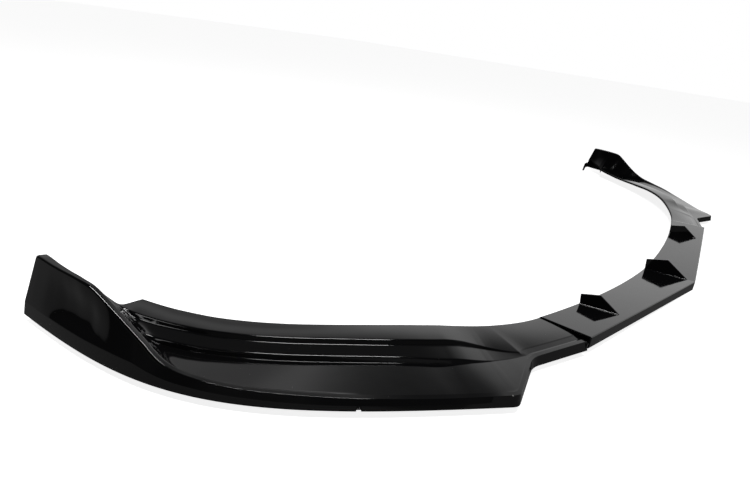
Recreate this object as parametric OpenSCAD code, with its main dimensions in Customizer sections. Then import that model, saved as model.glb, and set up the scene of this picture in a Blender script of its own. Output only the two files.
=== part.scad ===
// Front splitter lip for a car bumper, black ABS, in three mouldings.
// A middle length with three strakes laps over two side lengths that sweep back into upright wings.
// Millimetres. X across the car, -Y to the front, Z up, Z = 0 is the floor that it rests on.

/* [Overall] */
// half the width over the wings, at their lower rear corners
half_width = 920.5; // [850:0.5:1000]
// depth from the nose to the rear of the wings
depth = 532; // [490:1:580]
// wall thickness of the three mouldings
wall = 2.5; // [2:0.1:2.9]

/* [Side length, plan] */
// seam from the middle of the car, at the rear edge
seam_x = 408; // [380:1:430]
// how much further out the seam ends at the front
seam_skew = 5; // [0:0.5:10]
// valley of the front edge from the middle of the car
valley_x = 514; // [500:1:530]
// how far the valley lies behind the nose
valley_back = 89; // [84:0.5:94]
// front corner of the side length from the middle of the car
corner_x = 596; // [575:1:615]
// how far the front corner lies behind the nose
corner_back = 67; // [60:0.5:75]
// bend point of the outer edge, from the middle
outer_bend_x = 885; // [870:1:895]
// bend point of the outer edge, behind the nose
outer_bend_back = 273; // [260:1:285]
// end of the inner edge from the middle
inner_end_x = 817; // [805:1:825]
// end of the inner edge, behind the nose
inner_end_back = 457; // [445:1:465]
// bend point of the inner edge, from the middle
inner_bend_x = 662; // [650:1:675]
// bend point of the inner edge, behind the nose
inner_bend_back = 179; // [170:1:190]

/* [Side length, section] */
// height of the lower edge above the floor
edge_z = 9; // [7:0.5:11]
// highest point of the flange that meets the bumper
flange_z = 40; // [36:0.5:42]
// drop of the step next to the flange
step1_drop = 8; // [5:0.5:9]
// drop of the second step
step2_drop = 6.5; // [3:0.5:8]
// width of the flange beside the first step
flange_w = 28.5; // [26:0.5:30]
// width of the ledge between the steps
ledge_w = 20; // [16:0.5:22]
// depth of the downturned inner edge
inner_lip = 5.5; // [4.5:0.5:8]
// height of the valley's edge
valley_z = 22.3; // [20:0.1:25]

/* [Wing] */
// height of the wing above the floor
wing_z = 87; // [75:0.5:100]
// slope of the ridge that climbs to the wing
ramp = 0.6; // [0.45:0.01:0.75]
// middle of the ramp, behind the nose
ramp_back = 353; // [340:1:365]
// width of the narrow face on top of the ridge
crest_w = 6; // [5:0.5:9]
// how far the crest slopes down to the inside
crest_fall = 2.5; // [0:0.1:3]
// greatest hollow of the wing's outer face
scoop = 11; // [0:0.5:13]
// height of the straight strip below the hollow
strip_h = 18; // [12:0.5:22]
// how far the wing's rear edge leans forward per millimetre of height
rake = 0.18; // [0:0.01:0.2]

/* [Middle length] */
// height of the nose edge
nose_z = 17; // [15:0.5:19]
// rise of the front edge from the nose to the seam
front_rise = 10.5; // [9:0.5:13]
// rise of the front face's foot from the nose to the seam
foot_rise = 13.5; // [11:0.5:14]
// height of the inner edge at the middle
rear_z = 8; // [7:0.5:11]
// rise of the inner edge from the middle to the seam
rear_rise = 14.5; // [14:0.5:16]
// distance from the nose edge to the inner edge, on the middle line
mid_w = 88; // [84:0.5:95]
// radius of the inner edge in plan
inner_r = 2000; // [1900:10:2200]
// sweep of the nose, millimetres back for each millimetre out
sweep = 0.132; // [0.12:0.001:0.135]
// how far the front face's foot stands forward of its edge
draft = 1; // [0:0.5:2]
// open gap at the rear end of the seam
gap_rear = 1; // [0.5:0.1:2]
// open gap at the front end of the seam
gap_front = 3.5; // [1:0.1:5]

/* [Strakes] */
// side strakes from the middle of the car
strake_x = 300; // [270:1:330]
// length of a side strake at its foot
strake_l = 58; // [50:0.5:62]
// height of a side strake at its rear end
strake_rear_h = 15.5; // [10:0.5:18]
// greatest height of a side strake
strake_h = 22; // [19:0.5:26]
// distance of that highest point from the rear end
strake_peak = 25; // [18:0.5:32]
// thickness of a strake
strake_t = 4; // [3:0.1:6]
// size of the middle strake against the side ones
strake_ratio = 1.3; // [1:0.01:1.32]
// turn of the side strakes in plan, in degrees
strake_toe = 7.3; // [0:0.1:10]

/* [Seam] */
// how far the tongue reaches under the middle length
lap = 27; // [24:1:34]
// height of the tongue's upper face
tongue_z = 15.5; // [15:0.1:16]
// clear space between the tongue and the middle length's edges
tongue_clear = 3; // [2:0.1:4]
// thread diameter of the tapping screws
screw_d = 4.2; // [3.5:0.1:4.8]
// length of the tapping screws under the head
screw_l = 9.5; // [8:0.5:9.5]
// head diameter of the tapping screws
head_d = 8; // [7:0.1:9]
// outer diameter of the screw bosses
boss_d = 10; // [8:0.5:11]

/* [Rear tabs] */
// width of the tab at its foot
tab_foot = 9; // [7:0.5:12]
// thickness of the tab
tab_t = 3; // [2.5:0.1:4]
// screw hole in the tab
tab_hole_d = 5.2; // [4.2:0.1:5.5]
// height of the screw hole
tab_hole_z = 19; // [17:0.5:21]

/* [Hidden] */
$fn = 48;
eps = 0.01;
// plan scale against the reference width and depth
kx = half_width / 920.5;
ky = depth / 532;
nose_y = -depth / 2;
nose_edge_y = nose_y + draft;
// chamfer that stands for the moulded edge radius
edge_c = 1.8;
// running clearance of a screw in the tongue
screw_gap = 0.25;
// fullness of the two plan curves
inner_full = 0.6;
outer_full = 0.89;
// part of the outer edge that pairs with the inner edge; the rest is wing only
pair_end = 0.86;
// inner edge positions that pair with the rounding of the valley and of the front corner
valley_from = 0.185;
valley_to = 0.215;
corner_from = 0.262;
corner_t = 0.28;
// start of the outer edge, where the front corner's rounding ends
outer_start = 0.008;
// straight run that each rounding takes from the front edge
valley_run = 12;
corner_run = 6;
// how far the side length's front edge stands forward of the middle length's at the seam
seam_step = 2;
// drift of the wing's inner station points, away from the middle
wing_drift = 25;
// run of the two steps' slopes, and the slight fall of the faces between them
step1_run = 3;
step2_run = 2;
face_fall = 0.6;
// room that the steps leave for the rim where the section is short
rim_room = 8;
// distance from the inner edge from which the section's points are evenly spaced
even_from = 56;
// number of section points between there and the crest
climb_points = 11;
// blend radii where the ridge leaves the blade and where it levels out
foot_blend = 8;
ramp_blend = 12;
top_blend = 6;
// which sub-part to build

// smooth maximum and minimum with a blend of size r
function smax(a, b, r) = (a + b + sqrt((a - b) ^ 2 + r ^ 2)) / 2;
function smin(a, b, r) = (a + b - sqrt((a - b) ^ 2 + r ^ 2)) / 2;
function clamp01(v) = min(1, max(0, v));
function ease(v) = let (c = clamp01(v)) c * c * (3 - 2 * c);
function mix(a, b, v) = a + (b - a) * v;
// cubic curve from a to b that is pulled towards the bend point c by the fullness k
function bend(a, c, b, k, t) =
    (1 - t) ^ 3 * a + 3 * (1 - t) ^ 2 * t * (a + k * (c - a)) + 3 * (1 - t) * t ^ 2 * (b + k * (c - b)) + t ^ 3 * b;
// rounded corner from a over c to b
function round_over(a, c, b, t) = (1 - t) ^ 2 * a + 2 * (1 - t) * t * c + t ^ 2 * b;

// plan of the middle length: inner edge and upper front edge at the distance x from the middle
function inner_y(x) = nose_edge_y + mid_w + x * x / (2 * inner_r);
function front_y(x) = nose_edge_y + sweep * abs(x) + x * x / 100000;
// heights of the middle length, rising in a straight line from the nose to the seams
function rise(x) = abs(x) / (seam_x + seam_skew);
function plate_rear_z(x) = rear_z + rear_rise * rise(x);
function plate_front_z(x) = nose_z + front_rise * rise(x);
function plate_foot_z(x) = foot_rise * max(0, rise(x) - 0.015) ^ 0.8;
function plate_z(x, y) = mix(plate_rear_z(x), plate_front_z(x), (inner_y(x) - y) / (inner_y(x) - front_y(x)));

// plan of the side length
seam_in = [seam_x, inner_y(seam_x)];
seam_out = [seam_x + seam_skew, front_y(seam_x + seam_skew) - seam_step];
valley = [valley_x, nose_y + valley_back];
corner = [corner_x, nose_y + corner_back];
outer_bend = [outer_bend_x * kx, nose_y + outer_bend_back * ky];
outer_end = [half_width, depth / 2];
inner_bend = [inner_bend_x * kx, nose_y + inner_bend_back * ky];
inner_end = [inner_end_x * kx, nose_y + inner_end_back * ky];
function inner_edge(t) = bend(seam_in, inner_bend, inner_end, inner_full, t);
function outer_edge(t) = bend(corner, outer_bend, outer_end, outer_full, t);
// outer position that pairs with the inner position t
function outer_t(t) = let (v = (t - corner_t) / (1 - corner_t)) mix(outer_start, 1, 0.36 * v + 0.4922 * v * v);
// straight run of the front edge: a point d before the end b of the line from a
function before(a, b, d) = b + (a - b) * d / norm(a - b);

// stations of the side length: [inner point, outer point, inner position t, wing position r]
valley_in = before(seam_out, valley, valley_run);
valley_out = before(corner, valley, valley_run);
corner_in = before(valley, corner, corner_run);
front_stations = [
    for (v = [0, 0.2, 0.4, 0.6, 0.8]) let (t = valley_from * v) [inner_edge(t), mix(seam_out, valley_in, v), t, 0],
    for (v = [0:0.25:1]) let (t = mix(valley_from, valley_to, v))
        [inner_edge(t), round_over(valley_in, valley, valley_out, v), t, 0],
    for (v = [0.25, 0.5, 0.75]) let (t = mix(valley_to, corner_from, v))
        [inner_edge(t), mix(valley_out, corner_in, v), t, 0],
    for (v = [0:0.25:1]) let (t = mix(corner_from, corner_t, v))
        [inner_edge(t), round_over(corner_in, corner, outer_edge(outer_start), v), t, 0],
];
blade_stations = [
    for (k = [1:20]) let (t = mix(corner_t, 1, k / 20)) [inner_edge(t), outer_edge(outer_t(t)), t, 0],
];
function wing_station(r) =
    [inner_end + [wing_drift * r, depth / 2 * r - inner_end.y * r], outer_edge(mix(pair_end, 1, r)), 1, r];
wing_stations = [for (r = [0.1, 0.2, 0.32, 0.46, 0.6, 0.74, 0.84, 0.92, 0.965, 1]) wing_station(r)];
stations = concat(front_stations, blade_stations, wing_stations);

// heights and widths along the inner edge, as shares of the flange height
function flange_top(t) = flange_z * lookup(t, [[0, 0.54], [0.05, 0.57], [0.2, 0.71], [0.3, 0.835], [0.37, 0.915],
    [0.45, 0.945], [0.52, 0.925], [0.6, 0.865], [0.7, 0.76], [0.78, 0.69], [0.85, 0.66], [0.92, 0.68], [1, 0.76]]);
// height of the first step's upper edge
function step_top(t) = mix(valley_z, flange_top(t) - face_fall, ease((t - 0.17) / 0.2));
// distance of the two steps from the inner edge: they run out to the valley and fade there
function step1_at(t) = flange_w + lookup(t, [[0.185, 37.5], [0.2, 31], [0.215, 26], [0.25, 14.5], [0.27, 10],
    [0.3, 6], [0.33, 4], [0.4, 4], [0.5, 3], [0.6, 1], [0.8, 0]]);
function step2_at(t) = flange_w + ledge_w + lookup(t, [[0.27, 13], [0.33, 10.5], [0.4, 8], [0.45, 5], [0.5, 3],
    [0.6, 1], [0.7, 0]]);
function step1_part(t) = ease((t - 0.18) / 0.2);
function step2_part(t) = ease((t - 0.25) / 0.16);
function first_step(t, l) = min(step1_at(t), 0.78 * (l - rim_room));
function second_step(t, l) = min(step2_at(t), 0.9 * (l - rim_room));

// heights and offsets along the outer edge, by the distance behind the nose
function behind(p) = (p.y - nose_y) / ky;
function rim_z(b) = edge_z + lookup(b, [[60, 13.5], [75, 13.2], [90, 12.4], [120, 11.6], [165, 12.4],
    [215, 14], [266, 14.7], [295, 16]]);
function end_drop(b) = lookup(b, [[490, 0], [520, 1.5], [532, 4]]);
function ridge_z(b) =
    smin(wing_z, smax(rim_z(b), 44 + ramp * (b - ramp_back), ramp_blend), top_blend) - end_drop(b);
function lean(b) = lookup(b, [[60, 3.6], [266, 5.5], [306, 7.5], [326, 10.5], [353, 17], [376, 18.5],
    [412, 17], [436, 14.5], [532, 17]]);
// width of the narrow face along the ridge and the wing
function crest_at(b) = crest_w * lookup(b, [[330, 1], [376, 1.15], [430, 1.5], [532, 1.65]]);
function scoop_at(b) = scoop * lookup(b, [[300, 0], [326, 0.25], [353, 0.75], [376, 1], [416, 0.9],
    [456, 0.55], [491, 0.1], [520, 0]]);
// run of the wing's inner face for each millimetre of height
function face_run(b) = lookup(b, [[300, 0.7], [380, 0.7], [405, 0.62], [430, 0.7], [457, 0.78], [470, 0.72],
    [483, 0.62], [502, 0.45], [524, 0.25], [532, 0.18]]);

// upper line of a section: points [distance from the inner edge, height]
function base_z(s, t, r, l, b) =
    let (
        a1 = first_step(t, l), b1 = a1 + step1_run, a2 = second_step(t, l), b2 = a2 + step2_run,
        top = step_top(t), ledge = top - step1_drop * step1_part(t) - 0.4,
        foot = ledge - step2_drop * step2_part(t) - 0.8,
        z = s < a1 ? mix(flange_top(t), top, s / a1)
          : s < b1 ? mix(top, ledge, (s - a1) / step1_run)
          : s < a2 ? mix(ledge, ledge - face_fall, (s - b1) / (a2 - b1))
          : s < b2 ? mix(ledge - face_fall, foot, (s - a2) / step2_run)
          : mix(foot, rim_z(b), (s - b2) / (l - b2))
    ) r < 0.25 ? z : edge_z + 1;
function top_line(t, r, l, b) =
    let (
        a1 = first_step(t, l), b1 = a1 + step1_run, a2 = second_step(t, l), b2 = a2 + step2_run,
        high = ridge_z(b), q = lean(b), up = ease((high - rim_z(b)) / 15),
        crest = l - q - crest_at(b), fall = crest_fall * up, blend = foot_blend * up,
        from = max(min(even_from, crest - 4), b2 + 0.6),
        at = concat(
            [edge_c, a1 / 2, a1, b1, (a2 + b1) / 2, a2, b2],
            [for (k = [0:climb_points]) mix(from, crest, k / climb_points)])
    ) [for (s = at) [s, smax(base_z(s, t, r, l, b), high - fall - (crest - s) / face_run(b), blend)]];
// outer face from the crest down to the lower edge
function wall_line(t, r, l, b) =
    let (
        high = ridge_z(b), q = lean(b), strip = min(strip_h, (high - edge_z) / 2),
        q_strip = min(q / 2, 2), z_strip = edge_z + strip
    ) concat(
        [[l - q - edge_c, high - 0.2], [l - q + edge_c * 0.25, high - edge_c]],
        [for (g = [0.2, 0.35, 0.5, 0.65, 0.8, 0.92, 1])
            [l - mix(q, q_strip, g) - scoop_at(b) * sin(180 * g ^ 1.5), mix(high - edge_c, z_strip, g)]],
        [[l, edge_z]]);
function section(st) =
    let (l = norm(st[1] - st[0]), b = behind(st[1]), t = st[2], r = st[3], z0 = flange_top(t))
    concat(
        [[0, (r < 0.25 ? z0 : edge_z + 1) - inner_lip], [0, (r < 0.25 ? z0 : edge_z + 1) - edge_c]],
        top_line(t, r, l, b),
        wall_line(t, r, l, b));

// the same line moved inwards by the wall thickness, corner by corner
function unit(v) = v / norm(v);
function side_of(a, b) = let (d = unit(b - a)) [d.y, -d.x];
function inner_line(p) =
    let (n = len(p))
    [for (i = [0:n - 1])
        i == 0 ? p[0] + [wall, 0]
        : i == n - 1 ? p[i] - [wall, 0]
        : let (m = side_of(p[i - 1], p[i]), k = side_of(p[i], p[i + 1])) p[i] + wall * (m + k) / (1 + m * k)];
// a section point in space; the wing's last stations lean forward with the height
function place(st, p) =
    let (d = unit(st[1] - st[0]), xy = st[0] + d * p.x)
    [xy.x, xy.y - rake * ease(st[3] / 0.8) * (p.y - edge_z), p.y];

// skin the closed rings, all with the same number of points; caps are the faces of the first ring
module skin(rings, caps) {
    n = len(rings[0]);
    m = len(rings);
    quads = [for (i = [0:m - 2], j = [0:n - 1])
        let (k = (j + 1) % n)
        [i * n + j, (i + 1) * n + j, (i + 1) * n + k, i * n + k]];
    split = [for (q = quads) each [[q[0], q[1], q[2]], [q[0], q[2], q[3]]]];
    last = [for (c = caps) [for (j = [len(c) - 1:-1:0]) c[j] + (m - 1) * n]];
    polyhedron(points = [for (ring = rings) each ring], faces = concat(split, caps, last));
}
// end faces of a hollow ring: outer points first, inner points back
function wall_caps(half) = [for (j = [0:half - 2])
    let (q = [j, j + 1, 2 * half - 2 - j, 2 * half - 1 - j])
    each [[q[0], q[1], q[2]], [q[0], q[2], q[3]]]];
function hollow_ring(st, p) =
    let (q = inner_line(p), n = len(p))
    concat([for (a = p) place(st, a)], [for (j = [n - 1:-1:0]) place(st, q[j])]);
module shell(list) {
    skin([for (st = list) hollow_ring(st, section(st))], wall_caps(len(section(list[0]))));
}
// flat wall that closes the wing's rear end, leaning with it and set into the skin
module wing_end() {
    st = wing_station(1);
    p = section(st);
    q = inner_line(p);
    l = norm(st[1] - st[0]);
    mid = [for (j = [1:len(p) - 2]) (p[j] + q[j]) / 2];
    translate([st[0].x, st[0].y, edge_z])
        rotate([90 + atan(rake), 0, 0])
            translate([0, 0, 0.3])
                linear_extrude(height = wall)
                    polygon([for (a = mid) if (a.y > edge_z + 4 || a.x > l - 12) a - [0, edge_z]]);
}

// space behind the flange and inboard of the wing, open to the wheel
module wheel_side() {
    e = inner_end;
    w = outer_end;
    linear_extrude(height = wing_z + 40)
        polygon([
            [e.x - 60, e.y + 0.5], [e.x + 13, e.y + 1], [e.x + 21, e.y + 3], [e.x + 27, e.y + 7],
            [e.x + 32, e.y + 13], [w.x - 62.5, w.y - 49], [w.x - 50.5, w.y - 30], [w.x - 36.5, w.y - 8],
            [w.x - 33, w.y + 5], [e.x - 60, w.y + 5]]);
}

// tongue under the middle length, hung from an end wall inside the skin
seam_dir = unit(seam_out - seam_in);
seam_turn = atan2(seam_dir.x, -seam_dir.y);
seam_len = norm(seam_out - seam_in);
screw_at = [22, 54];
// place children in the seam's frame: x away from the middle, -y along the seam to the front
module at_seam() {
    translate([seam_in.x, seam_in.y, 0])
        rotate([0, 0, seam_turn])
            children();
}
module tongue() {
    wall_x = 0.6;
    seam_wall_foot = edge_z + 1.3;
    seam_wall_top = valley_z - wall + 0.5;
    front = -seam_len + tongue_clear + wall;
    at_seam() {
        translate([wall_x, -seam_len + wall / 2, seam_wall_foot])
            cube([wall, seam_len - wall, seam_wall_top - seam_wall_foot]);
        translate([-lap, front, tongue_z - wall])
            cube([lap + 2, -2 * front - seam_len, wall]);
        translate([-9, front, edge_z])
            cube([11, wall, tongue_z - edge_z - 1]);
    }
}
module screw_holes(d, z0, z1) {
    for (y = screw_at)
        at_seam()
            translate([-lap / 2 - 1, -y, z0])
                cylinder(h = z1 - z0, d = d);
}
// hanging tab on the wing's rear end
module tab() {
    x = outer_end.x;
    translate([0, outer_end.y, 0])
        rotate([90, 0, 0])
            linear_extrude(height = tab_t)
                difference() {
                    polygon([
                        [x - 29, 29], [x - 48, 27], [x - 53, 8], [x - 53, 0],
                        [x - 53 + tab_foot, 0], [x - 37, 10], [x - 29, 13]]);
                    translate([x - 41, tab_hole_z])
                        circle(d = tab_hole_d);
                }
}

module side_lip() {
    difference() {
        union() {
            difference() {
                union() {
                    shell(stations);
                    wing_end();
                }
                wheel_side();
            }
            tongue();
            tab();
        }
        screw_holes(screw_d + 2 * screw_gap, tongue_z - wall - 1, tongue_z + 1);
    }
}
module left_side_lip() {
    color([0.05, 0.05, 0.055])
        side_lip();
}
// the right side length has a small chip out of its lower edge
chip_t = 0.215;
chip_w = 6;
chip_h = 4;
module right_side_lip() {
    chip = outer_edge(chip_t);
    color([0.05, 0.05, 0.055])
        mirror([1, 0, 0])
            difference() {
                side_lip();
                translate([chip.x, chip.y, edge_z - eps])
                    rotate([0, 0, 38])
                        linear_extrude(height = chip_h)
                            square([chip_w, 6 * wall], center = true);
            }
}

// middle length
function plate_station(x) =
    let (
        in_x = abs(x) > seam_x - 1 ? sign(x) * (seam_x - gap_rear) : x,
        out_x = abs(x) > seam_x - 1 ? sign(x) * (seam_x + seam_skew - gap_front) : x
    ) [[in_x, inner_y(in_x)], [out_x, front_y(out_x) - draft], x];
function plate_section(st) =
    let (x = st[2], l = norm(st[1] - st[0]), zr = plate_rear_z(x), zf = plate_front_z(x), foot = plate_foot_z(x))
    [
        [0, zr - inner_lip], [0, zr - edge_c], [edge_c, zr],
        for (v = [0.25, 0.5, 0.75]) [edge_c + v * (l - draft - 2 * edge_c), mix(zr, zf, v)],
        [l - draft - edge_c, zf], [l - draft + 0.4, zf - edge_c], [l, foot]
    ];
plate_x = [-seam_x, -380, -340, -300, -250, -200, -150, -100, -50, -20, -6, 0];
plate_stations = [for (k = [0:22]) plate_station(k <= 11 ? plate_x[k] : -plate_x[22 - k])];
module plate() {
    skin(
        [for (st = plate_stations) hollow_ring([st[0], st[1], 0, 0], plate_section(st))],
        wall_caps(len(plate_section(plate_stations[0]))));
}
// an upright strake; y runs from its rear end on the inner edge to its tip
module strake(x, size) {
    l = strake_l * size;
    peak = strake_peak * size;
    y0 = inner_y(x);
    zr = plate_z(x, y0);
    zp = plate_z(x, y0 - peak);
    zt = plate_z(x, y0 - l);
    rotate([90, 0, 90])
        translate([0, 0, -strake_t / 2])
            linear_extrude(height = strake_t)
                polygon([
                    [-1, zr - 1.2], [2, zr + strake_rear_h * size], [1 - peak, zp + strake_h * size],
                    [-peak - 3, zp + strake_h * size - 0.8], [-l, zt], [-l + 1, zt - 1.2]]);
}
module at_strake(side) {
    x = side * strake_x;
    translate([x, inner_y(x), 0])
        rotate([0, 0, -side * strake_toe])
            children();
}
// screw bosses under the middle length, standing on the tongue
module bosses(d, z0, over) {
    for (y = screw_at)
        at_seam()
            translate([-lap / 2 - 1, -y, z0])
                cylinder(h = plate_z(seam_x - lap / 2, seam_in.y - y) - over - z0, d = d);
}
module centre_lip() {
    color([0.05, 0.05, 0.055])
        difference() {
            union() {
                plate();
                for (side = [-1, 1])
                    at_strake(side)
                        strake(strake_x, 1);
                translate([0, inner_y(0), 0])
                    strake(0, strake_ratio);
                for (side = [0, 1])
                    mirror([side, 0, 0])
                        bosses(boss_d, tongue_z, 1);
            }
            for (side = [0, 1])
                mirror([side, 0, 0])
                    screw_holes(screw_d, tongue_z - 1, tongue_z - wall + screw_l + 0.3);
        }
}

// pan head tapping screws, driven upwards through the tongues
module tapping_screw() {
    head_h = 2.6;
    difference() {
        union() {
            translate([0, 0, -head_h])
                cylinder(h = head_h, d = head_d);
            translate([0, 0, -eps])
                cylinder(h = screw_l - 1.5 + eps, d = screw_d - 0.1);
            translate([0, 0, screw_l - 1.5])
                cylinder(h = 1.5, d1 = screw_d - 0.1, d2 = 1.6);
        }
        for (a = [0, 90])
            rotate([0, 0, a])
                translate([-2.3, -0.45, -head_h - 1])
                    cube([4.6, 0.9, 2.8]);
    }
}
module seam_screws() {
    color([0.55, 0.56, 0.58])
        for (side = [0, 1])
            mirror([side, 0, 0])
                for (y = screw_at)
                    at_seam()
                        translate([-lap / 2 - 1, -y, tongue_z - wall])
                            tapping_screw();
}

left_side_lip();
right_side_lip();
centre_lip();
seam_screws();
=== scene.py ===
import logging
from dataclasses import dataclass, field
from enum import Enum
from typing import Optional, Sequence

import bpy
import numpy as np
from mathutils import Matrix


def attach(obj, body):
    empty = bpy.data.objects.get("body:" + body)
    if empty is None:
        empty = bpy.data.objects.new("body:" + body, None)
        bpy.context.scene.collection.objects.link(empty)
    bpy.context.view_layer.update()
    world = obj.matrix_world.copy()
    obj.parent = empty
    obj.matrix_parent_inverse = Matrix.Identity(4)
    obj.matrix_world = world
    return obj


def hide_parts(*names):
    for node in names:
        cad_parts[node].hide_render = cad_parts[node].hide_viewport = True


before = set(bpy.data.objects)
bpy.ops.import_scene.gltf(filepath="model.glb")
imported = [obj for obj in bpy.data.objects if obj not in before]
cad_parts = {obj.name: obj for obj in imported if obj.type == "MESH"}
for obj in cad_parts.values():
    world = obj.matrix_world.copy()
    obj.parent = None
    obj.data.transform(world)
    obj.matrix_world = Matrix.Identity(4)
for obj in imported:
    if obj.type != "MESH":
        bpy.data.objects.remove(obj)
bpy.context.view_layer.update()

MM = 0.001
LOG = logging.getLogger("splitter_lip")

Array = np.ndarray
Value = float | Array
Tree = bpy.types.NodeTree
Socket = bpy.types.NodeSocket
Material = bpy.types.Material


class Side(Enum):
    """Which side of the car a side length belongs to, as the sign of its X."""

    LEFT = 1
    RIGHT = -1


# Number helpers

def mix(a: Value, b: Value, v: Value) -> Value:
    """Return the value at the share v of the way from a to b."""
    return a + (b - a) * v


def ease(v: Array) -> Array:
    """Return 0 to 1 for v from 0 to 1, level at both ends (3 v squared minus 2 v cubed)."""
    c = np.clip(v, 0.0, 1.0)
    return c * c * (3.0 - 2.0 * c)


def fade(v: Array, stretch: tuple[float, float]) -> Array:
    """Return 0 to 1 as v goes over a stretch, given by its start and its length, which may be negative."""
    return ease((v - stretch[0]) / stretch[1])


def smooth_max(a: Array, b: Array, r: Array) -> Array:
    """Return the larger of a and b, blended over about r: half of a + b + root((a - b)^2 + r^2)."""
    return (a + b + np.sqrt((a - b) ** 2 + r ** 2)) / 2.0


def smooth_min(a: Array, b: Array, r: Array) -> Array:
    """Return the smaller of a and b, blended over about r."""
    return (a + b - np.sqrt((a - b) ** 2 + r ** 2)) / 2.0


def curve(x: Array, table: Sequence[tuple[float, float]]) -> Array:
    """Read a smooth curve through a table's points, with no overshoot between them.

    Cubic pieces join the points. The slope at a point is the harmonic mean of the slopes beside
    it, or nought where they change sign. The ends take the end runs' slopes, but a table whose
    first and last runs go opposite ways starts level.

    Args:
        x: places to read at.
        table: pairs of place and value, in rising order of place.

    Returns:
        The values, held level beyond both ends.
    """
    px, py = np.array(table, float).T
    h = np.diff(px)
    d = np.diff(py) / h
    a, b = d[:-1], d[1:]
    same = a * b > 0
    inner = np.where(same, 2 * a * b / np.where(same, a + b, 1.0), 0.0)
    first = 0.0 if d[0] * d[-1] < 0 else d[0]
    m = np.concatenate([[first], inner, [d[-1]]])
    x = np.clip(np.asarray(x, float), px[0], px[-1])
    k = np.clip(np.searchsorted(px, x, side="right") - 1, 0, len(h) - 1)
    v = (x - px[k]) / h[k]
    return (
        py[k] * (1 + 2 * v) * (1 - v) ** 2 + h[k] * m[k] * v * (1 - v) ** 2
        + py[k + 1] * v * v * (3 - 2 * v) + h[k] * m[k + 1] * v * v * (v - 1)
    )


def bend(a: Array, c: Array, b: Array, fullness: float, t: Array) -> Array:
    """Return points of the cubic curve from a to b, pulled towards the bend point c by the fullness."""
    t = np.asarray(t, float)[:, None]
    return (
        (1 - t) ** 3 * a + 3 * (1 - t) ** 2 * t * (a + fullness * (c - a))
        + 3 * (1 - t) * t ** 2 * (b + fullness * (c - b)) + t ** 3 * b
    )


def round_over(a: Array, c: Array, b: Array, t: Array) -> Array:
    """Return points of the parabola that leaves a towards c and arrives at b from c."""
    t = np.asarray(t, float)[:, None]
    return (1 - t) ** 2 * a + 2 * (1 - t) * t * c + t ** 2 * b


def along(points: Array, share: Array) -> Array:
    """Return the points of a line of straight runs at the given shares of its length."""
    run = np.concatenate([[0.0], np.cumsum(np.linalg.norm(np.diff(points, axis=0), axis=1))])
    at = np.asarray(share, float) * run[-1]
    return np.stack([np.interp(at, run, points[:, i]) for i in range(points.shape[1])], axis=1)


def toward(a: Array, b: Array, distance: float) -> Array:
    """Return the point at the distance from b on the way to a."""
    return b + (a - b) * distance / np.linalg.norm(a - b)


# Rings, skins and plates

@dataclass
class Corners:
    """Corners of a section line for all stations at once, each with a radius and a number of points."""

    s: list[Array] = field(default_factory=list)
    z: list[Array] = field(default_factory=list)
    radius: list[float] = field(default_factory=list)
    count: list[int] = field(default_factory=list)
    key: list[bool] = field(default_factory=list)

    def add(self, s: Array, z: Array, radius: float = 0.0, count: int = 1, key: bool = True) -> None:
        """Add a corner.

        Args:
            s: distance from the inner edge, one value a station.
            z: height, one value a station.
            radius: moulded radius, nought for a point of a smooth run.
            count: points on the arc.
            key: whether the inner face of the wall has this corner too.
        """
        s, z = np.broadcast_arrays(np.asarray(s, float), np.asarray(z, float))
        self.s.append(s)
        self.z.append(z)
        self.radius.append(radius)
        self.count.append(count)
        self.key.append(key)

    def points(self) -> Array:
        """Return the corners as an array of stations by corners by two."""
        n = max(len(a) for a in self.s)
        s = np.stack([np.broadcast_to(a, n) for a in self.s], axis=1)
        z = np.stack([np.broadcast_to(a, n) for a in self.z], axis=1)
        return np.stack([s, z], axis=2)


def unit(v: Array) -> Array:
    """Return vectors of length one."""
    return v / np.maximum(np.linalg.norm(v, axis=-1, keepdims=True), 1e-9)


def wall_offset(line: Array, wall: float) -> Array:
    """Move open section lines to the right of their run by the wall thickness, mitred at corners.

    A corner moves by wall (m + k) / (1 + m.k), with m and k the normals of the runs beside it. The
    divisor is held at 0.3, so that a line that doubles back doesn't throw its corner far out.

    Args:
        line: stations by corners by two.
        wall: thickness.

    Returns:
        The moved lines, with both ends moved level.
    """
    least = 0.3
    d = unit(np.diff(line, axis=1))
    normal = np.stack([d[..., 1], -d[..., 0]], axis=-1)
    m, k = normal[:, :-1], normal[:, 1:]
    shift = wall * (m + k) / np.maximum(1 + (m * k).sum(-1, keepdims=True), least)
    level = np.array([wall, 0.0])
    middle = line[:, 1:-1] + shift
    return np.concatenate([line[:, :1] + level, middle, line[:, -1:] - level], axis=1)


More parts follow.
